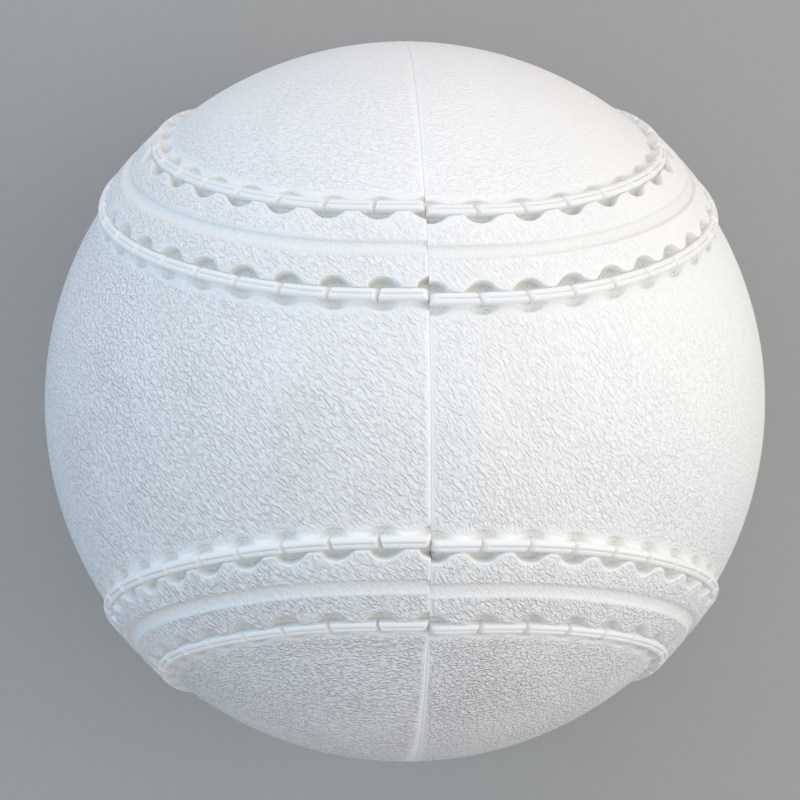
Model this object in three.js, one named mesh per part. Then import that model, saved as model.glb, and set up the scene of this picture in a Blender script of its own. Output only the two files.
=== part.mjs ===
// Moulded-rubber softball: a solid agglomerated-cork core inside two white rubber cover halves.
// The covers meet on the plane X = 0. Each one carries half of the raised seam band, which winds
// round the ball once: two rows of stitch bars, a smooth groove between them, and a shallow
// pocket at the joint between neighbouring bars. Millimetres, origin at the ball's centre.
import * as THREE from 'three'

// Sizes of the ball
const PANEL_R = 48.2 // outside radius of the smooth panels
const COVER_WALL = 3.0 // rubber thickness under the panels
const CORE_GAP = 0.3 // clearance between core and cover
const PARTING_GAP = 0.3 // clearance between the two cover halves
const HALF_TWIST = THREE.MathUtils.degToRad(0.75) // mismatch of the mould halves, turned about X

// Seam line: SEAM_* shape the closed curve that the groove follows, as angles on the sphere
const WAIST_ANGLE = THREE.MathUtils.degToRad(24.1) // from the +Z or -Z pole to the seam at a waist
const SEAM_SWAY = [0.531, 0.101, 0.0153]
const SEAM_BULGE = [0.14, 0.0117, -0.0155]
const RIB_OFFSET = 0.1125 // seam line to rib centre, as an angle in radians
const RIB_OFFSET_ENDS = 0.0055 // extra at the waists, and as much less halfway between them

// Raised band, across its width: heights above the panels and distances from a rib's centre
const BAND_H = 0.95
const RIB_H = 1.05
const SADDLE_H = 0.5 // a rib's height at the joint between two bars
const SLIT_H = 0.65 // floor of the slit between rib and band
const POCKET_H = 0.2 // floor of a pocket
const GROOVE_H = 0.35 // floor of the central groove
const RIB_HALF = 0.5
const FOOT_OUT = 1.2
const SLIT_IN = 0.75
const EDGE_IN = 1.0
const POCKET_FLOOR_IN = 1.4
const POCKET_EDGE_IN = 2.3
const GROOVE_HALF = 0.9
const GROOVE_FLOOR_HALF = 0.35

// Mesh density
const BARS = 92 // bars in each of the two rows, round the whole seam
const SADDLE_SHARE = 0.13 // part of a bar's pitch from its joint to its full height
const PANEL_STEPS = 8
const PANEL_LEAN = 0.4 // lean of the panels' mesh lines towards the waist, per radian of width
const CAP_RINGS = 9
const CAP_SECTORS = 44
const CORE_SECTORS = 40

const seamPoint = t => {
  const wave = SEAM_BULGE.reduce((sum, b, k) => sum + b * (Math.cos((2 * k + 3) * t) - Math.cos(t)),
    Math.cos(t))
  const polar = Math.PI / 2 - (Math.PI / 2 - WAIST_ANGLE) * wave
  const turn = SEAM_SWAY.reduce((sum, s, k) => sum + s * Math.sin((2 * k + 2) * t), t / 2)
  return new THREE.Vector3(Math.sin(polar) * Math.sin(turn), Math.sin(polar) * Math.cos(turn),
    Math.cos(polar))
}

// Unit vector along the sphere, square to the seam; it points to the panel whose waist is at -Z
const seamSide = t => {
  const eps = 1e-4
  const tangent = seamPoint(t + eps).sub(seamPoint(t - eps)).normalize()
  return seamPoint(t).cross(tangent)
}

const ribAngle = t => RIB_OFFSET + RIB_OFFSET_ENDS * Math.cos(2 * t)

const acrossSeam = (t, angle) => seamPoint(t).multiplyScalar(Math.cos(angle))
  .add(seamSide(t).multiplyScalar(Math.sin(angle)))

// Bars are evenly spaced along their own rib. This gives the seam parameter at a share of a rib's
// length: side is +1 for the rib next to the -Z panel and -1 for the one next to the +Z panel.
const parameterAtShare = side => {
  const fine = 4000
  const at = i => {
    const t = 2 * Math.PI * i / fine
    return acrossSeam(t, side * ribAngle(t))
  }
  const length = [0]
  for (let i = 1; i <= fine; i++) length.push(length[i - 1] + at(i).distanceTo(at(i - 1)))
  return share => {
    if (share === 0 || share === 1) return 2 * Math.PI * share
    const target = share * length[fine]
    const i = length.findIndex(v => v >= target)
    return 2 * Math.PI * (i - 1 + (target - length[i - 1]) / (length[i] - length[i - 1])) / fine
  }
}

// One side of the band from its foot to its inner edge: distance from the rib's centre, then height
const ribProfile = joint => joint
  ? [[FOOT_OUT, 0], [RIB_HALF, SADDLE_H], [-RIB_HALF, SADDLE_H], [-POCKET_FLOOR_IN, POCKET_H],
      [-POCKET_EDGE_IN, BAND_H]]
  : [[FOOT_OUT, 0], [RIB_HALF, RIB_H], [-RIB_HALF, RIB_H], [-SLIT_IN, SLIT_H], [-EDGE_IN, BAND_H]]

// One side of the band as rows of points from its foot to the groove's floor, each with its seam
// parameter: at a joint between two bars, then at the two ends of a bar's full height
const sideRows = side => {
  const parameter = parameterAtShare(side)
  const row = (share, joint) => {
    const t = parameter(share)
    const profile = ribProfile(joint).map(([out, height]) => [ribAngle(t) + out / PANEL_R, height])
    profile.push([GROOVE_HALF / PANEL_R, BAND_H], [GROOVE_FLOOR_HALF / PANEL_R, GROOVE_H])
    return { t, points: profile.map(([a, h]) => acrossSeam(t, side * a).multiplyScalar(PANEL_R + h)) }
  }
  const rows = []
  for (let n = 0; n < BARS / 2; n++) {
    for (const part of [0, SADDLE_SHARE, 1 - SADDLE_SHARE]) {
      rows.push(row((n + part) / (BARS / 2), part === 0))
    }
  }
  rows.push(row(1, true))
  return rows
}

// Point of a panel's skin between a foot of the band, share 1, and the plane across the panel's
// length, share 0. The lines to the plane lean towards the waist, so that they fan out in the
// panel's rounded end.
const [axisX, axisY, axisZ] = [[1, 0, 0], [0, 1, 0], [0, 0, 1]].map(v => new THREE.Vector3(...v))
const FAR_PANEL = { waist: axisZ.clone().negate(), length: axisY, width: axisX }
const NEAR_PANEL = { waist: axisZ, length: axisX, width: axisY }
const panelPoint = (foot, { waist, length, width }, share) => {
  const latitude = Math.asin(foot.dot(width) / PANEL_R)
  const turn = Math.atan2(foot.dot(length), foot.dot(waist)) * (1 - PANEL_LEAN * Math.abs(latitude))
  return waist.clone().multiplyScalar(Math.cos(turn)).addScaledVector(length, Math.sin(turn))
    .multiplyScalar(PANEL_R).lerp(foot, share).setLength(PANEL_R)
}

// Outer skin, rim and inner skin of the cover half on the +X side
const coverGeometry = () => {
  const points = []
  const faces = []
  const add = p => points.push(p) - 1
  const quad = (a, b, c, d) => {
    for (const f of [[a, b, c], [a, c, d]]) if (new Set(f).size === 3) faces.push(f)
  }
  const strip = (rowA, rowB) => {
    for (let i = 1; i < rowA.length; i++) quad(rowA[i - 1], rowA[i], rowB[i], rowB[i - 1])
  }

  // Joins two lines of points that run side by side but are spaced differently along the seam
  const zip = (a, ta, b, tb) => {
    let [i, j] = [0, 0]
    while (i < a.length - 1 || j < b.length - 1) {
      const stepA = j === b.length - 1 || (i < a.length - 1 && ta[i + 1] <= tb[j + 1])
      faces.push([a[i], b[j], stepA ? a[i + 1] : b[j + 1]])
      if (stepA) i++
      else j++
    }
  }

  const [farRows, nearRows] = [1, -1].map(sideRows)
  const last = farRows.length - 1
  const far = farRows.map(row => row.points.map(add))
  const near = nearRows.map(row => row.points.map(add).reverse())
  const band = far.map((ids, r) => [...ids, ...near[r]])
  const floor = far[0].length - 1

  // -Z panel: from the parting plane to the band's foot
  const outerRows = band.map((ids, r) => {
    const foot = points[ids[0]].clone()
    const line = []
    for (let k = 0; k < PANEL_STEPS / 2; k++) {
      const share = k / (PANEL_STEPS / 2)
      line.push(r === 0 || r === last ? ids[0] : add(panelPoint(foot, FAR_PANEL, share)))
    }
    return [...line, ids[0]]
  })
  // +Z panel: from a foot to its mirror image in Y = 0
  const innerRows = []
  for (let r = 0; r <= last / 2; r++) {
    const start = band[r][band[r].length - 1]
    const end = band[last - r][band[r].length - 1]
    const line = []
    for (let k = 1; k < PANEL_STEPS; k++) {
      const share = 1 - 2 * k / PANEL_STEPS
      const foot = points[share > 0 ? start : end]
      line.push(start === end ? start : add(panelPoint(foot, NEAR_PANEL, Math.abs(share))))
    }
    innerRows.push([start, ...line, end])
  }
  for (let r = 0; r < last; r++) {
    strip(outerRows[r], outerRows[r + 1])
    strip(far[r], far[r + 1])
    strip(near[r], near[r + 1])
  }
  zip(far.map(ids => ids[floor]), farRows.map(row => row.t),
    near.map(ids => ids[0]), nearRows.map(row => row.t))
  for (let r = 0; r < innerRows.length - 1; r++) strip(innerRows[r], innerRows[r + 1])

  // Rim on the parting plane, and the spherical inner skin
  const rimOut = [...band[0], ...innerRows[0].slice(1), ...[...band[last]].reverse().slice(1),
    ...outerRows.slice(1, last).reverse().map(row => row[0])]
  const innerR = PANEL_R - COVER_WALL
  const rings = []
  for (let r = 0; r < CAP_RINGS; r++) {
    const up = Math.PI / 2 * r / CAP_RINGS
    rings.push([...Array(CAP_SECTORS).keys()].map(s => {
      const a = 2 * Math.PI * s / CAP_SECTORS
      return add(new THREE.Vector3(Math.sin(up), Math.cos(up) * Math.cos(a), Math.cos(up) * Math.sin(a))
        .multiplyScalar(innerR))
    }))
  }
  const pole = add(new THREE.Vector3(innerR, 0, 0))
  for (let s = 0; s < CAP_SECTORS; s++) {
    const n = (s + 1) % CAP_SECTORS
    for (let r = 0; r < CAP_RINGS - 1; r++) quad(rings[r][s], rings[r + 1][s], rings[r + 1][n], rings[r][n])
    faces.push([rings[CAP_RINGS - 1][s], pole, rings[CAP_RINGS - 1][n]])
  }
  const flat = ids => ids.map(i => new THREE.Vector2(points[i].y, points[i].z))
  const rimIds = [...rimOut, ...rings[0]]
  for (const f of THREE.ShapeUtils.triangulateShape(flat(rimOut), [flat(rings[0])])) {
    const [a, b, c] = f.map(i => rimIds[i])
    const normalX = (points[b].y - points[a].y) * (points[c].z - points[a].z) -
      (points[b].z - points[a].z) * (points[c].y - points[a].y)
    faces.push(normalX > 0 ? [a, c, b] : [a, b, c])
  }
  for (const p of points) p.x = Math.max(p.x, PARTING_GAP / 2)

  const geometry = new THREE.BufferGeometry()
  geometry.setAttribute('position', new THREE.Float32BufferAttribute(points.flatMap(p => p.toArray()), 3))
  geometry.setIndex(faces.flat())
  return geometry
}

const mirroredInX = geometry => {
  const copy = geometry.clone().scale(-1, 1, 1)
  const index = copy.getIndex().array
  for (let i = 0; i < index.length; i += 3) [index[i], index[i + 1]] = [index[i + 1], index[i]]
  return copy
}

const coreGeometry = () => {
  const r = PANEL_R - COVER_WALL - CORE_GAP
  const profile = []
  for (let i = 0; i <= CORE_SECTORS / 2; i++) {
    const a = -Math.PI / 2 + Math.PI * i / (CORE_SECTORS / 2)
    const onAxis = i === 0 || i === CORE_SECTORS / 2
    profile.push(new THREE.Vector2(onAxis ? 0 : r * Math.cos(a), r * Math.sin(a)))
  }
  return new THREE.LatheGeometry(profile, CORE_SECTORS).rotateX(Math.PI / 2)
}

const rubber = new THREE.MeshStandardMaterial({ color: 0xf1f0ea, roughness: 0.5, metalness: 0 })
const cork = new THREE.MeshStandardMaterial({ color: 0xb0834f, roughness: 0.9, metalness: 0 })

const part = new THREE.Group()
const piece = (name, geometry, material) => {
  const mesh = new THREE.Mesh(geometry, material)
  mesh.name = name
  part.add(mesh)
}
const half = coverGeometry()
piece('core_cork', coreGeometry(), cork)
piece('cover_half_right', half.clone().rotateX(HALF_TWIST / 2), rubber)
piece('cover_half_left', mirroredInX(half).rotateX(-HALF_TWIST / 2), rubber)

export default part
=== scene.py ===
"""Moulded-rubber softball: two detailed cover halves and a cork core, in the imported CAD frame."""
import math

import bmesh
import bpy
import numpy as np
from mathutils import Matrix, Vector, noise


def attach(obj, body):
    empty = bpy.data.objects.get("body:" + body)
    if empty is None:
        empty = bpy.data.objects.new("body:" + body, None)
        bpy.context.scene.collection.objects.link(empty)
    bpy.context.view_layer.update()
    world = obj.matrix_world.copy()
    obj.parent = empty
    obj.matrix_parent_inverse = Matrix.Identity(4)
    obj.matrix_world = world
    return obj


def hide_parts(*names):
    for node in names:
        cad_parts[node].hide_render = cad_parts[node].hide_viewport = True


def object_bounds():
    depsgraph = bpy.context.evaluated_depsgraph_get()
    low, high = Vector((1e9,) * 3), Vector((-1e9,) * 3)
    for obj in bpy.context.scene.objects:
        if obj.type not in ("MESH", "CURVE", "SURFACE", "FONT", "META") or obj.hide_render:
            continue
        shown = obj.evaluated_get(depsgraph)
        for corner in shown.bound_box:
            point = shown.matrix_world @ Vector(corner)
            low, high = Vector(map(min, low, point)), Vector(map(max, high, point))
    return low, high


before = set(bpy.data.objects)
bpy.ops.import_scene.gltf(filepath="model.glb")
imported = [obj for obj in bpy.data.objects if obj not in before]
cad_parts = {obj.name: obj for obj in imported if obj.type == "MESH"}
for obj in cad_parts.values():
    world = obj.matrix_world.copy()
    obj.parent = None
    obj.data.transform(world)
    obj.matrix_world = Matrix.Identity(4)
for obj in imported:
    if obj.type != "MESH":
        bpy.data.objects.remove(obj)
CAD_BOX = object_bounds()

MM = 0.001
PI = math.pi

# ---------------------------------------------------------------- the ball's shape, in millimetres
PANEL_R = 48.2
COVER_WALL = 3.0
CORE_R = 44.9
PARTING_HALF_GAP = 0.012
LINE_DIP, LINE_DIP_WIDTH = 0.035, 0.1    # rounding of a half's edge at the parting line
HALF_TWIST = math.radians(0.75)

WAIST_ANGLE = math.radians(24.1)
SEAM_SWAY = (0.531, 0.101, 0.0153)
SEAM_BULGE = (0.14, 0.0117, -0.0155)
RIB_OFFSET, RIB_OFFSET_ENDS = 0.1125, 0.0055
BARS = 92
HALF_BARS = BARS // 2

BAND_H = 0.95          # raised band above the panels
RIB_H = 1.08           # crest of a stitch bar above the panels
NOTCH_DEPTH = 0.95     # valley between two bars, below the crest
BAR_HALF = 0.68        # half the width of a bar
STRAND_DROP = 0.22     # how far a bar's rounded sides fall before the upright wall
STRAND_STEP = 0.05     # one side of the slot stands lower than the other
SLOT_DEPTH, SLOT_HALF = 0.26, 0.09
RAMP, RAMP_SKEW, CLIFF = 0.8, 0.4, 0.11
SLANT = 0.27           # lean of the notches, sideways per unit across
GAP_FLOOR = 0.55       # floor of the slit between bar and band, in the middle of a bar
POCKET_FLOOR = -0.3
FAR_POCKET = (2.1, 2.0, 0.8)     # reach from the rib centre, half-length along the bar, sharpness
NEAR_POCKET = (2.1, 2.1, 0.75)
DIMPLE_REACH, DIMPLE_HALF, DIMPLE_FLOOR = 1.85, 2.0, -0.34
FOOT = 1.12            # foot of a bar's flank on the panel side
CUSP = 0.8             # band edge to rib centre where the two nearly touch
GROOVE_HALF, GROOVE_DEPTH = 0.86, 0.4
# shares of the groove's half-width and of its depth, from a lip to the floor
GROOVE_PROFILE = ((1.08, 0.0), (0.99, 0.06), (0.92, 0.34), (0.81, 0.63), (0.62, 0.86), (0.2, 1.0))
BAND_MARGIN = 3.2      # half-width of the detailed strip beyond the rib centre
MARGIN_ROWS = ((2, 0.5), (5, 1.2))       # every how many rows a coarser row keeps, and how far past the strip
FAR_REACH_SWING = 0.12                   # the far pockets are shallower at the band's ends
LEAN_REACH, LEAN_FADE = 1.5, 0.7         # how far from a rib's centre the notches lean, and the blend
GROOVE_COLUMN = 9.0                      # stands for the offset of columns that follow no rib


def smooth(x):
    x = np.clip(x, 0.0, 1.0)
    return x * x * (3 - 2 * x)


def unit(v):
    return v / np.linalg.norm(v, axis=-1, keepdims=True)


def seam_point(t):
    wave = np.cos(t) + sum(b * (np.cos((2 * k + 3) * t) - np.cos(t)) for k, b in enumerate(SEAM_BULGE))
    polar = PI / 2 - (PI / 2 - WAIST_ANGLE) * wave
    turn = t / 2 + sum(s * np.sin((2 * k + 2) * t) for k, s in enumerate(SEAM_SWAY))
    return np.stack([np.sin(polar) * np.sin(turn), np.sin(polar) * np.cos(turn), np.cos(polar)], -1)


def across_seam(t, angle):
    """Point on the unit sphere at this angle from the seam, positive towards the -Z panel."""
    eps = 1e-4
    p = seam_point(t)
    side = np.cross(p, unit(seam_point(t + eps) - seam_point(t - eps)))
    return p * np.cos(angle)[..., None] + side * np.sin(angle)[..., None]


def rib_angle(t):
    return RIB_OFFSET + RIB_OFFSET_ENDS * np.cos(2 * t)


def seam_parameter(side):
    """Table from the bar count along a rib to the seam parameter."""
    t = np.linspace(0, 2 * PI, 12001)
    p = across_seam(t, side * rib_angle(t))
    s = np.concatenate([[0], np.cumsum(np.linalg.norm(np.diff(p, axis=0), axis=1))])
    return s / s[-1] * HALF_BARS, t, s[-1] / HALF_BARS * PANEL_R


TABLES = {side: seam_parameter(side) for side in (-1, 1)}
PITCH = TABLES[1][2]


def to_t(q, side):
    count, t, _ = TABLES[side]
    return np.interp(q, count, t)


# Rows of the detailed strip: distances along a bar from the ramp end's valley, then from the steep end's
ROW_STEPS = [0.0, 0.08, 0.18, 0.31, 0.48, 0.7, 0.95, 1.25, 1.7, 2.4, 3.2, 3.75, 4.25, 4.7, 5.05]
CLIFF_STEPS = [0.34, 0.22, 0.14, 0.09, 0.04]


def bar_rows():
    """Position in bars along the half seam, and the distance from the ramp-end valley."""
    steps = np.array([v / PITCH for v in ROW_STEPS] + [1 - v / PITCH for v in CLIFF_STEPS])
    q, ramp = [], []
    for n in range(HALF_BARS):
        if n < HALF_BARS / 2:
            q += list(n + steps)
            ramp += list(steps)
        else:
            back = [0.0] + list((1 - steps)[:0:-1])
            q += list(n + np.array(back))
            ramp += list(1 - np.array(back))
    q.append(float(HALF_BARS))
    ramp.append(0.0)
    return np.array(q), np.array(ramp) * PITCH


def strip_columns(side, q, ramp, pocket_shift):
    """Columns of one side of the band, from the panel to the groove.

    Each is an offset from the rib centre (positive towards the panel), a height and two masks. ramp
    is each row's distance from the valley at its bar's ramp end.
    """
    cliff = PITCH - ramp
    along = np.minimum(np.abs(ramp - pocket_shift), np.abs(cliff + pocket_shift))
    reach, half, power = FAR_POCKET if side > 0 else NEAR_POCKET
    reach = reach - (side > 0) * FAR_REACH_SWING * np.cos(PI * q / HALF_BARS)
    open_ = (1 - np.clip(along / half, 0, 1) ** 2) ** power
    wall = CUSP + (reach - CUSP) * open_
    floor = GAP_FLOOR + (POCKET_FLOOR - GAP_FLOOR) * smooth(open_ * 1.8)
    dim = (1 - np.clip(along / DIMPLE_HALF, 0, 1) ** 2) ** 0.75
    rim = FOOT + (DIMPLE_REACH - FOOT) * dim
    dip = DIMPLE_FLOOR * smooth(dim * 1.8)
    slot = SLOT_DEPTH * smooth((ramp - RAMP + 0.1) / 0.2) * smooth((cliff - 0.1) / 0.2)
    one = np.ones_like(ramp)
    cols = []

    # a column's pocket mask roughens it and darkens its colour, partly as dirt and partly as painted shade
    def put(u, h, grain=0.0, pocket=0.0):
        cols.append((u * one, h * one, grain * one, pocket * one))

    def bar(u):
        """Height of a bar: a ramp that is longer on its side towards the -Z panel, and a steep end."""
        across = side * u / BAR_HALF
        length = RAMP * (1 + RAMP_SKEW * across)
        rise = 1 - (1 - np.clip(ramp / length, 0, 1)) ** 2.2
        crest = RIB_H - NOTCH_DEPTH * (1 - np.minimum(rise, smooth(cliff / CLIFF)))
        cut = math.exp(-(u / SLOT_HALF) ** 2)
        step = STRAND_STEP * math.tanh(side * u / 0.1) / 2
        return crest - STRAND_DROP * abs(u / BAR_HALF) ** 4 - slot * cut - step

    # panel and the rim of the dimple
    put(BAND_MARGIN, 0, 1)
    put(2.8, 0, 1)
    put(np.maximum(2.3, rim + 0.3), 0, 0.8)
    put(rim + 0.1, 0.0, 0.2)
    put(rim, -0.05 * dim, 0, 0.2 * dim)
    # flank from the rim down to the bar's foot
    side_top = BAR_HALF + 0.02
    for far, near, deep in ((0.85, 0.62, 0.85), (0.6, 0.45, 1.0), (0.28, 0.28, 1.0), (0.08, 0.12, 0.85)):
        part = near + (far - near) * dim
        flank = 0.74 * (1 - part)
        put(side_top + (rim - side_top) * part, flank * (1 - dim) + dip * deep * dim, 0, dim)
    # the bar, with its slot in the middle
    bar_u = [BAR_HALF * v for v in (1, 0.93, 0.81, 0.64, 0.47, 0.31)] + [0.13, 0.065, 0.0]
    for u in bar_u + [-v for v in bar_u[-2::-1]]:
        put(u, bar(u), 0, 0.15)
    # pocket floor, its upright wall and the band's top
    inner = wall - 0.02
    put(-side_top, np.minimum(floor + 0.15 * open_ + 0.05, bar(-BAR_HALF) - 0.05), 0, open_)
    put(-(side_top + 0.35 * (inner - side_top)), floor + 0.05 * open_, 0, open_)
    put(-(side_top + 0.75 * (inner - side_top)), floor - 0.2 * open_, 0, open_)
    put(-inner, floor - 0.24 * open_, 0, 0.8 * open_)
    put(-(wall + 0.02), BAND_H - 0.1, 0, 0)
    put(-(wall + 0.06), BAND_H - 0.025, 0, 0)
    put(-(wall + 0.14), BAND_H, 0.1, 0)
    put(-(wall + 0.4), BAND_H, 0.8, 0)
    return cols, wall


def side_of_band(side, q, ramp, pocket_shift):
    """Grid of points rows x columns from a panel to the groove's floor, its masks and seam parameters."""
    centre = rib_angle(to_t(q, side)) * PANEL_R
    cols, wall = strip_columns(side, q, ramp, pocket_shift)
    cols = [(centre + u, h, g, k, u) for u, h, g, k in cols]
    start, lip = centre - wall - 0.4, GROOVE_HALF + 0.25
    for share in (0.34, 0.67, 1.0):
        cols.append((start + (lip - start) * share, BAND_H, 1, 0, GROOVE_COLUMN))
    # the groove's columns carry a pocket mask of 0.35, which darkens their colour as painted shade
    for share, drop in GROOVE_PROFILE:
        cols.append((GROOVE_HALF * share, BAND_H - GROOVE_DEPTH * drop, 0.25, 0.35, GROOVE_COLUMN))
    dist, height, grain, pocket, off = [np.stack([v + 0 * q for v in column], 1) for column in zip(*cols)]
    # the notches lean: shift the rows along the bar near the ribs, mirrored in Y = 0 and not at the rim
    lean = -SLANT * side * off * smooth((LEAN_REACH - np.abs(off)) / LEAN_FADE)
    flip = np.where(q < HALF_BARS / 2, 1.0, -1.0) * smooth(np.minimum(q, HALF_BARS - q) / 0.3)
    flip = flip * smooth(np.abs(q - HALF_BARS / 2) / 0.5)
    qq = np.clip(q[:, None] + lean * flip[:, None] / PITCH, 0, HALF_BARS)
    qq[0], qq[-1] = 0, HALF_BARS
    t = to_t(qq, side)
    dist += (rib_angle(t) - rib_angle(to_t(q, side))[:, None]) * PANEL_R * (off < GROOVE_COLUMN)
    points = across_seam(t, side * dist / PANEL_R) * (PANEL_R + height)[..., None]
    return points, grain, pocket, t[:, -1]


class Shell:
    """Vertices, faces and per-vertex masks of one cover half, built on the +X side."""

    def __init__(self):
        self.co, self.grain, self.pocket, self.faces = [], [], [], []
        self.count = 0

    def add(self, points, grain, pocket=0.0):
        """Adds points, with one mask value for all or one for each. Returns their ids."""
        points = np.asarray(points, float).reshape(-1, 3)
        n = len(points)
        self.co.append(points)
        self.grain.append(np.broadcast_to(np.asarray(grain, float).reshape(-1), (n,)))
        self.pocket.append(np.broadcast_to(np.asarray(pocket, float).reshape(-1), (n,)))
        ids = np.arange(self.count, self.count + n)
        self.count += n
        return ids

    def face(self, *ids):
        ids = [int(i) for k, i in enumerate(ids) if i != ids[k - 1]]
        if len(ids) >= 3:
            self.faces.append(ids)

    def strip(self, a, b):
        """Quads between two rows of equal length."""
        for i in range(1, len(a)):
            self.face(a[i - 1], a[i], b[i], b[i - 1])

    def zip(self, a, sa, b, sb):
        """Triangles between two rows of different length, matched by their parameters sa and sb."""
        i = j = 0
        while i < len(a) - 1 or j < len(b) - 1:
            if j == len(b) - 1 or (i < len(a) - 1 and sa[i + 1] <= sb[j + 1]):
                self.face(a[i], a[i + 1], b[j])
                i += 1
            else:
                self.face(a[i], b[j + 1], b[j])
                j += 1


FAR_PANEL = ((0, 0, -1), (0, 1, 0), (1, 0, 0))    # directions of a panel's waist, length and width
NEAR_PANEL = ((0, 0, 1), (1, 0, 0), (0, 1, 0))
PANEL_LEAN = 0.4
FAR_SHARES, NEAR_SHARES = 20, 41         # points along a panel's lines
INNER_SECTORS, INNER_RINGS = 96, 16


def panel_line(foot, panel, shares):
    """Points of a panel's skin from a foot of the band, share 1, through the plane across the width, 0."""
    waist, length, width = np.array(panel, float)
    foot = unit(foot)
    turn = math.atan2(foot @ length, foot @ waist) * (1 - PANEL_LEAN * abs(math.asin(foot @ width)))
    middle = math.cos(turn) * waist + math.sin(turn) * length
    other = foot - 2 * (foot @ width) * width
    shares = np.asarray(shares)[:, None]
    ends = np.where(shares < 0, other, foot)
    return PANEL_R * unit(middle + np.abs(shares) * (ends - middle))


def panel_grain(points, seam_strip):
    """Grain mask that is 0 on the ungrained strip at the parting line and 1 beyond it."""
    return smooth((np.abs(points[..., 0]) - seam_strip) / 0.3)


def add_band(shell, q, ramp, pocket_shift, seam_strip):
    """Both sides of the band, joined along the groove's floor. Returns vertex ids, rows x columns."""
    sides = []
    for side in (1, -1):
        points, grain, pocket, t = side_of_band(side, q, ramp, pocket_shift)
        grain = grain * smooth((np.abs(points[..., 0]) - seam_strip * 0.4) / 0.35)
        ids = shell.add(points, grain, pocket).reshape(len(q), -1)
        for r in range(len(q) - 1):
            shell.strip(ids[r], ids[r + 1])
        sides.append((ids, t))
    (far_ids, far_t), (near_ids, near_t) = sides
    shell.zip(far_ids[:, -1], far_t, near_ids[:, -1], near_t)
    return np.hstack([far_ids, near_ids[:, ::-1]])


def every(n, rows):
    """Every n-th of so many rows, with the same rows kept from both ends and the ends themselves."""
    keep = {0, 1, 2, (rows - 1) // 2} | set(range(0, rows, n))
    return sorted(keep | {rows - 1 - k for k in keep})


def add_margin(shell, row, q, side, seam_strip):
    """Coarser rows of vertices that follow a side of the band, from its edge towards the panel."""
    t_rib = to_t(q, side)
    base = rib_angle(t_rib) * PANEL_R + BAND_MARGIN
    row_q, rows = q, []
    for n, beyond in MARGIN_ROWS:
        keep = every(n, len(q))
        p = across_seam(t_rib[keep], side * (base[keep] + beyond) / PANEL_R) * PANEL_R
        new = shell.add(p, panel_grain(p, seam_strip))
        shell.zip(row, row_q, new, q[keep])
        row, row_q = new, q[keep]
        rows.append(row)
    return rows


def add_far_panel(shell, foot, seam_strip):
    """-Z panel: lines from the parting plane to the band."""
    co, last, lines = np.concatenate(shell.co), len(foot) - 1, []
    for r in range(last + 1):
        if r in (0, last):
            lines.append(np.full(FAR_SHARES + 2, foot[r]))
        else:
            fine = min(0.3, 0.3 / co[foot[r]][0])    # share of the step next to the parting plane
            shares = [0, 0.43 * fine, *np.linspace(fine, 1, FAR_SHARES)[:-1]]
            line = panel_line(co[foot[r]], FAR_PANEL, shares)
            lines.append(np.append(shell.add(line, panel_grain(line, seam_strip)), foot[r]))
    for r in range(last):
        shell.strip(lines[r], lines[r + 1])
    return lines


def add_near_panel(shell, foot, seam_strip):
    """+Z panel: lines from a point of the band to its mirror image in Y = 0."""
    co, last, lines = np.concatenate(shell.co), len(foot) - 1, []
    shares = np.linspace(1, -1, NEAR_SHARES)
    for r in range(last // 2 + 1):
        a, b = foot[r], foot[last - r]
        if a == b:
            lines.append(np.full(NEAR_SHARES, a))
        else:
            line = panel_line(co[a], NEAR_PANEL, shares[1:-1])
            lines.append(np.concatenate([[a], shell.add(line, panel_grain(line, seam_strip)), [b]]))
    for r in range(last // 2):
        shell.strip(lines[r], lines[r + 1])
    return lines


def add_inner_skin(shell, loop):
    """Flat rim on the parting plane, from the skin's edge inwards, and the inner half ball."""
    co = np.concatenate(shell.co)
    turn = np.unwrap(np.arctan2(co[loop, 2], co[loop, 1]))
    inner = PANEL_R - COVER_WALL
    spin = turn[0] + 2 * PI * np.arange(INNER_SECTORS) / INNER_SECTORS
    rings = []
    for k in range(INNER_RINGS):
        up = PI / 2 * k / INNER_RINGS
        x = np.full(INNER_SECTORS, math.sin(up))
        ring = np.stack([x, math.cos(up) * np.cos(spin), math.cos(up) * np.sin(spin)], 1)
        ids = shell.add(ring * inner, 0)
        rings.append(np.append(ids, ids[0]))
    pole = shell.add([[inner, 0, 0]], 0)[0]
    ring_turn = turn[0] + 2 * PI * np.arange(INNER_SECTORS + 1) / INNER_SECTORS
    shell.zip(np.array(loop), turn, rings[0], ring_turn)
    for k in range(INNER_RINGS - 1):
        shell.strip(rings[k], rings[k + 1])
    for i in range(INNER_SECTORS):
        shell.face(rings[-1][i], rings[-1][i + 1], pole)


def cover_half(pocket_shift, seam_strip):
    """Cover half on the +X side. seam_strip is the width of the ungrained strip at the parting line."""
    shell = Shell()
    q, ramp = bar_rows()
    band = add_band(shell, q, ramp, pocket_shift, seam_strip)
    far_margin = add_margin(shell, band[:, 0], q, 1, seam_strip)
    near_margin = add_margin(shell, band[:, -1], q, -1, seam_strip)
    far_lines = add_far_panel(shell, far_margin[-1], seam_strip)
    near_lines = add_near_panel(shell, near_margin[-1], seam_strip)

    # the skin's edge on the parting plane: band, +Z panel, band again, -Z panel
    (far_inner, far_outer), near_inner = far_margin, near_margin[0]
    loop = [*band[0], near_inner[0], *near_lines[0], near_inner[-1], *band[-1][::-1]]
    loop += [far_inner[-1], far_outer[-1]] + [line[0] for line in far_lines[-2:0:-1]]
    loop += [far_outer[0], far_inner[0], band[0][0]]
    add_inner_skin(shell, loop)
    return shell


SHARP_ANGLE = math.radians(62)


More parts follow.
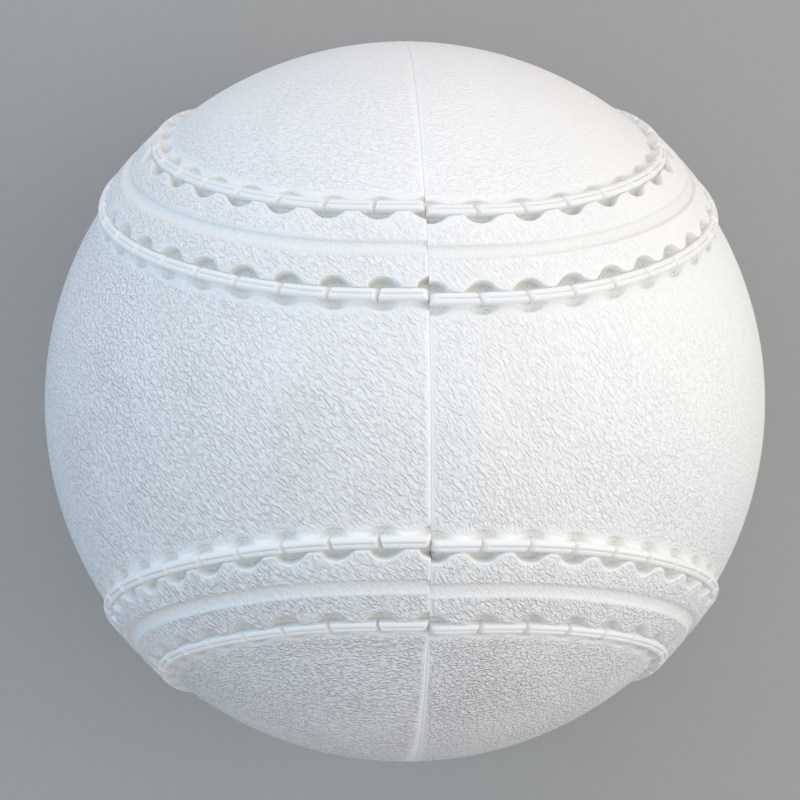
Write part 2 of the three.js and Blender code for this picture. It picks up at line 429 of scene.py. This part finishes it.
def mesh_object(name, co, faces, attributes, material):
    mesh = bpy.data.meshes.new(name)
    mesh.from_pydata((co * MM).tolist(), [], faces)
    bm = bmesh.new()
    bm.from_mesh(mesh)
    bmesh.ops.recalc_face_normals(bm, faces=bm.faces)
    bm.to_mesh(mesh)
    bm.free()
    for key, values in attributes.items():
        layer = mesh.attributes.new(key, "FLOAT", "POINT")
        layer.data.foreach_set("value", np.asarray(values, np.float32))
    mesh.shade_smooth()
    mesh.set_sharp_from_angle(angle=SHARP_ANGLE)
    mesh.materials.append(material)
    obj = bpy.data.objects.new(name, mesh)
    bpy.context.scene.collection.objects.link(obj)
    return obj


# ---------------------------------------------------------------- materials
class Nodes:
    """Short way to wire a node tree."""

    def __init__(self, name):
        self.material = bpy.data.materials.new(name)
        self.material.use_nodes = True
        self.tree = self.material.node_tree
        self.bsdf = self.tree.nodes["Principled BSDF"]

    def node(self, kind, settings=None, **inputs):
        n = self.tree.nodes.new(kind)
        for key, value in (settings or {}).items():
            setattr(n, key, value)
        for key, value in inputs.items():
            self.set(n.inputs[key.replace("_", " ")], value)
        return n

    def set(self, socket, value):
        if isinstance(value, bpy.types.NodeSocket):
            self.tree.links.new(value, socket)
        else:
            socket.default_value = value

    def math(self, op, *values, clamp=False):
        n = self.tree.nodes.new("ShaderNodeMath")
        n.operation, n.use_clamp = op, clamp
        for i, v in enumerate(values):
            self.set(n.inputs[i], v)
        return n.outputs[0]

    def mix(self, factor, a, b, kind="RGBA"):
        n = self.tree.nodes.new("ShaderNodeMix")
        n.data_type = kind
        sockets, out = {"VECTOR": ((0, 4, 5), 1), "RGBA": ((0, 6, 7), 2)}[kind]
        for i, v in zip(sockets, (factor, a, b)):
            self.set(n.inputs[i], v)
        return n.outputs[out]

    def attribute(self, name):
        return self.node("ShaderNodeAttribute", {"attribute_name": name}).outputs["Fac"]


def white_rubber(name, grain_frames, strength):
    """Moulded white rubber: leather-like grain on panels and band, smooth bars, rough pocket floors.

    grain_frames gives, for the front and the top and bottom lobes of the far panel, the turn of the
    wrinkles in degrees and their length, width and depth in millimetres.
    """
    n = Nodes(name)
    coords = n.node("ShaderNodeTexCoord").outputs["Object"]
    grain, pocket = n.attribute("grain"), n.attribute("pocket")
    frames = [n.node("ShaderNodeMapping", {"vector_type": "TEXTURE"}, Vector=coords,
                     Rotation=[math.radians(a) for a in turn], Scale=[v * MM for v in size]).outputs[0]
              for turn, size in grain_frames]
    place = n.mix(n.attribute("top"), frames[0], frames[1], "VECTOR")
    place = n.mix(n.attribute("bottom"), place, frames[2], "VECTOR")
    warp = n.node("ShaderNodeTexNoise", None, Vector=place, Scale=0.55, Detail=1.0)
    push = n.node("ShaderNodeVectorMath", {"operation": "MULTIPLY_ADD"})
    n.set(push.inputs[0], warp.outputs["Color"])
    push.inputs[1].default_value = (1.3, 2.2, 2.0)
    n.set(push.inputs[2], place)
    cells = n.node("ShaderNodeTexVoronoi", {"feature": "F1"}, Vector=push.outputs[0], Scale=1.0)
    squared = n.math("MULTIPLY", cells.outputs["Distance"], cells.outputs["Distance"])
    pattern = n.math("SUBTRACT", 1.0, n.math("MULTIPLY", squared, 1.35), clamp=True)
    broad = n.node("ShaderNodeTexNoise", None, Vector=coords, Scale=95.0, Detail=1.0).outputs["Fac"]
    fine = n.node("ShaderNodeTexNoise", None, Vector=coords, Scale=3300.0, Detail=1.0).outputs["Fac"]
    height = n.math("MULTIPLY", pattern, n.math("MULTIPLY", grain, n.math("MULTIPLY_ADD", broad, 0.8, 0.6)))
    height = n.math("MULTIPLY_ADD", fine, n.math("MULTIPLY_ADD", pocket, 1.5, 0.12), height)
    bump = n.node("ShaderNodeBump", None, Strength=1.0, Distance=strength * MM, Height=height)
    n.set(n.bsdf.inputs["Normal"], bump.outputs[0])

    clean, aged = (0.87, 0.865, 0.85, 1), (0.80, 0.79, 0.76, 1)
    tint = n.node("ShaderNodeTexNoise", None, Vector=coords, Scale=38.0, Detail=4.0).outputs["Fac"]
    age = n.math("MULTIPLY", n.math("SUBTRACT", tint, 0.42, clamp=True), 1.1, clamp=True)
    colour = n.mix(age, clean, aged)
    # painted shade: the grain's hollows are darkened in colour, more where the grain mask is deeper
    hollow_shade = n.math("SUBTRACT", 0.75, pattern, clamp=True)
    colour = n.mix(n.math("MULTIPLY", hollow_shade, n.math("MULTIPLY", grain, 0.16)), colour, (0.60, 0.59, 0.56, 1))
    # the pocket mask darkens the colour: partly dirt, partly painted shade in the pockets, dimples and groove
    grime_and_shade = n.math("MULTIPLY", pocket, n.math("MULTIPLY_ADD", fine, 0.5, 0.25))
    colour = n.mix(grime_and_shade, colour, (0.56, 0.545, 0.49, 1))
    dirt = n.math("MULTIPLY", n.math("GREATER_THAN", fine, 0.71), n.math("MULTIPLY", pocket, 0.6))
    colour = n.mix(dirt, colour, (0.24, 0.22, 0.17, 1))
    n.set(n.bsdf.inputs["Base Color"], colour)
    rough = n.math("MULTIPLY_ADD", broad, 0.14, 0.40)
    n.set(n.bsdf.inputs["Roughness"], n.math("MULTIPLY_ADD", pocket, 0.2, rough))
    n.bsdf.inputs["Specular IOR Level"].default_value = 0.4
    return n.material


# per half and frame: turn in degrees, then length, width and depth in millimetres
RIGHT_GRAIN = (((0, 0, -52), (0.66, 0.3, 0.4)), ((0, 0, 20), (0.66, 0.3, 0.4)), ((0, 0, 8), (0.42, 0.3, 0.4)))
LEFT_GRAIN = (((0, 0, -47), (0.7, 0.3, 0.4)), ((0, 0, -20), (0.7, 0.3, 0.4)), ((0, 0, 8), (0.64, 0.3, 0.4)))


def agglomerated_cork():
    """Cork granules pressed with binder: mixed browns, dark seams, a rough surface."""
    n = Nodes("agglomerated_cork")
    coords = n.node("ShaderNodeTexCoord").outputs["Object"]
    chips = n.node("ShaderNodeTexVoronoi", {"feature": "F1"}, Vector=coords, Scale=420.0)
    seams = n.node("ShaderNodeTexVoronoi", {"feature": "DISTANCE_TO_EDGE"}, Vector=coords, Scale=420.0)
    pick = n.node("ShaderNodeSeparateColor", None, Color=chips.outputs["Color"]).outputs[0]
    ramp = n.node("ShaderNodeValToRGB", None, Fac=pick)
    ramp.color_ramp.elements[0].color = (0.20, 0.10, 0.045, 1)
    ramp.color_ramp.elements[1].color = (0.56, 0.36, 0.19, 1)
    middle = ramp.color_ramp.elements.new(0.55)
    middle.color = (0.42, 0.25, 0.12, 1)
    edge = n.math("MULTIPLY", seams.outputs["Distance"], 9.0, clamp=True)
    colour = n.mix(edge, (0.09, 0.05, 0.025, 1), ramp.outputs[0])
    n.set(n.bsdf.inputs["Base Color"], colour)
    fine = n.node("ShaderNodeTexNoise", None, Vector=coords, Scale=1500.0, Detail=4.0).outputs["Fac"]
    height = n.math("MULTIPLY_ADD", fine, 0.6, edge)
    bump = n.node("ShaderNodeBump", None, Strength=0.9, Distance=0.00025, Height=height)
    n.set(n.bsdf.inputs["Normal"], bump.outputs[0])
    n.set(n.bsdf.inputs["Roughness"], n.math("MULTIPLY_ADD", fine, 0.15, 0.78))
    return n.material


# ---------------------------------------------------------------- pieces
def add_cover(name, node, sign, pocket_shift, seam_strip, grain_frames, grain_depth):
    shell = cover_half(pocket_shift, seam_strip)
    co = np.concatenate(shell.co)
    on_skin = np.linalg.norm(co, axis=1) > PANEL_R - 1
    co -= (on_skin * LINE_DIP * np.exp(-(co[:, 0] / LINE_DIP_WIDTH) ** 2))[:, None] * unit(co)
    co[:, 0] = sign * np.maximum(co[:, 0], PARTING_HALF_GAP)
    twist = sign * HALF_TWIST / 2
    spin = np.array([[math.cos(twist), -math.sin(twist)], [math.sin(twist), math.cos(twist)]])
    co[:, 1:] = co[:, 1:] @ spin.T
    far_panel = in_far_panel(unit(co * [[sign, 1, 1]]))
    x, y = co[:, 0] / PANEL_R, co[:, 1] / PANEL_R
    # the grain's bumps and the painted shade in its hollows are weaker at the brightly lit top right and
    # stronger at the shaded bottom left
    depth = np.clip(1.75 - 0.9 * x - 1.3 * y + 1.2 * np.maximum(0, -y - 0.3), 0.45, 3.0)
    masks = {
        "grain": np.concatenate(shell.grain) * depth,
        "pocket": np.concatenate(shell.pocket),
        "top": far_panel * smooth((co[:, 1] + 8) / 16),
        "bottom": far_panel * smooth((8 - co[:, 1]) / 16),
    }
    obj = mesh_object(name, co, shell.faces, masks, white_rubber(name + "_rubber", grain_frames, grain_depth))
    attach(obj, "root")
    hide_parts(node)
    return obj


def in_far_panel(direction):
    """1 where a direction on the +X side lies on the -Z panel, beyond its row of bars, else 0."""
    lump = 20000    # directions compared at a time
    t = np.linspace(0, 2 * PI, 721)
    p = seam_point(t)
    side = np.cross(p, unit(seam_point(t + 1e-4) - seam_point(t - 1e-4)))
    out = np.empty(len(direction))
    for start in range(0, len(direction), lump):
        d = direction[start:start + lump]
        nearest = np.argmax(d @ p.T, axis=1)
        out[start:start + lump] = np.einsum("ij,ij->i", d, side[nearest]) > RIB_OFFSET
    return out


add_cover("cover_right", "cover_half_right", 1, 0.5, 0.35, RIGHT_GRAIN, 0.105)
add_cover("cover_left", "cover_half_left", -1, -0.38, 0.25, LEFT_GRAIN, 0.105)


def add_core():
    """Cork core: a ball with the uneven surface of pressed granules."""
    bm = bmesh.new()
    bmesh.ops.create_icosphere(bm, subdivisions=6, radius=1.0)
    mesh = bpy.data.meshes.new("core")
    for v in bm.verts:
        d = v.co.normalized()
        lump = noise.cell(d * 34.0) * 0.12 + noise.noise(d * 60.0) * 0.08
        v.co = d * (CORE_R - 0.14 + lump) * MM
    bm.to_mesh(mesh)
    bm.free()
    mesh.shade_smooth()
    mesh.materials.append(agglomerated_cork())
    obj = bpy.data.objects.new("core", mesh)
    bpy.context.scene.collection.objects.link(obj)
    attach(obj, "root")
    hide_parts("core_cork")


add_core()

# ---------------------------------------------------------------- floor, light and camera
FLOOR_Z = CAD_BOX[0][2]    # the ball rests on it


def add_floor():
    n = Nodes("pale_floor")
    coords = n.node("ShaderNodeTexCoord").outputs["Object"]
    cloud = n.node("ShaderNodeTexNoise", None, Vector=coords, Scale=3.0, Detail=3.0).outputs["Fac"]
    n.set(n.bsdf.inputs["Base Color"], n.mix(cloud, (0.32, 0.315, 0.305, 1), (0.36, 0.355, 0.345, 1)))
    n.bsdf.inputs["Roughness"].default_value = 0.85
    bm = bmesh.new()
    bmesh.ops.create_grid(bm, x_segments=1, y_segments=1, size=2.5)
    mesh = bpy.data.meshes.new("floor")
    bm.to_mesh(mesh)
    bm.free()
    mesh.materials.append(n.material)
    obj = bpy.data.objects.new("floor", mesh)
    obj.location.z = FLOOR_Z
    bpy.context.scene.collection.objects.link(obj)


def add_light(name, at, size, watts, colour):
    """Square soft light at a place in metres, turned to the ball."""
    light = bpy.data.lights.new(name, "AREA")
    light.size, light.energy, light.color = size, watts, colour
    obj = bpy.data.objects.new(name, light)
    obj.location = at
    obj.rotation_euler = Vector(at).to_track_quat("Z", "Y").to_euler()
    bpy.context.scene.collection.objects.link(obj)


add_floor()
add_light("key_right", (1.0, 0.05, 0.45), 0.8, 6.1, (1.0, 0.99, 0.88))
add_light("key_top", (0.05, 1.0, 0.45), 0.8, 3.9, (1.0, 0.84, 0.71))
add_light("fill_left", (-1.0, 0.4, 0.45), 0.8, 4.8, (0.29, 0.67, 1.0))
add_light("fill_front", (-0.15, -0.15, 1.1), 0.8, 2.0, (0.88, 1.0, 0.82))

world = bpy.data.worlds.new("studio")
world.use_nodes = True
world.node_tree.nodes["Background"].inputs["Color"].default_value = (0.87, 0.88, 1.0, 1)
world.node_tree.nodes["Background"].inputs["Strength"].default_value = 0.63
bpy.context.scene.world = world
bpy.context.scene.view_settings.view_transform = "Standard"

# Camera above the ball, looking down; the ball is turned a little, so the camera stands off its axis
CAMERA_DISTANCE = 7.35 * PANEL_R
TURN_X, TURN_Y, TURN_Z = math.radians(2.83), math.radians(3.64), math.radians(0.65)
BALL_SHARE = 0.45025    # radius of the ball's outline, as a share of the frame's width
SENSOR = 36.0
turn = Matrix.Rotation(TURN_Z, 3, "Z") @ Matrix.Rotation(TURN_Y, 3, "Y") @ Matrix.Rotation(TURN_X, 3, "X")
turn = turn.inverted()
camera = bpy.data.objects.new("camera", bpy.data.cameras.new("camera"))
camera.matrix_world = Matrix.Translation(turn @ Vector((0, 0, CAMERA_DISTANCE * MM))) @ turn.to_4x4()
camera.data.sensor_width = SENSOR
camera.data.lens = SENSOR * BALL_SHARE * math.sqrt((CAMERA_DISTANCE / PANEL_R) ** 2 - 1)
camera.data.shift_x, camera.data.shift_y = -0.006125, 0.001875
camera.data.clip_start, camera.data.clip_end = 0.01, 20
bpy.context.scene.collection.objects.link(camera)
bpy.context.scene.camera = camera
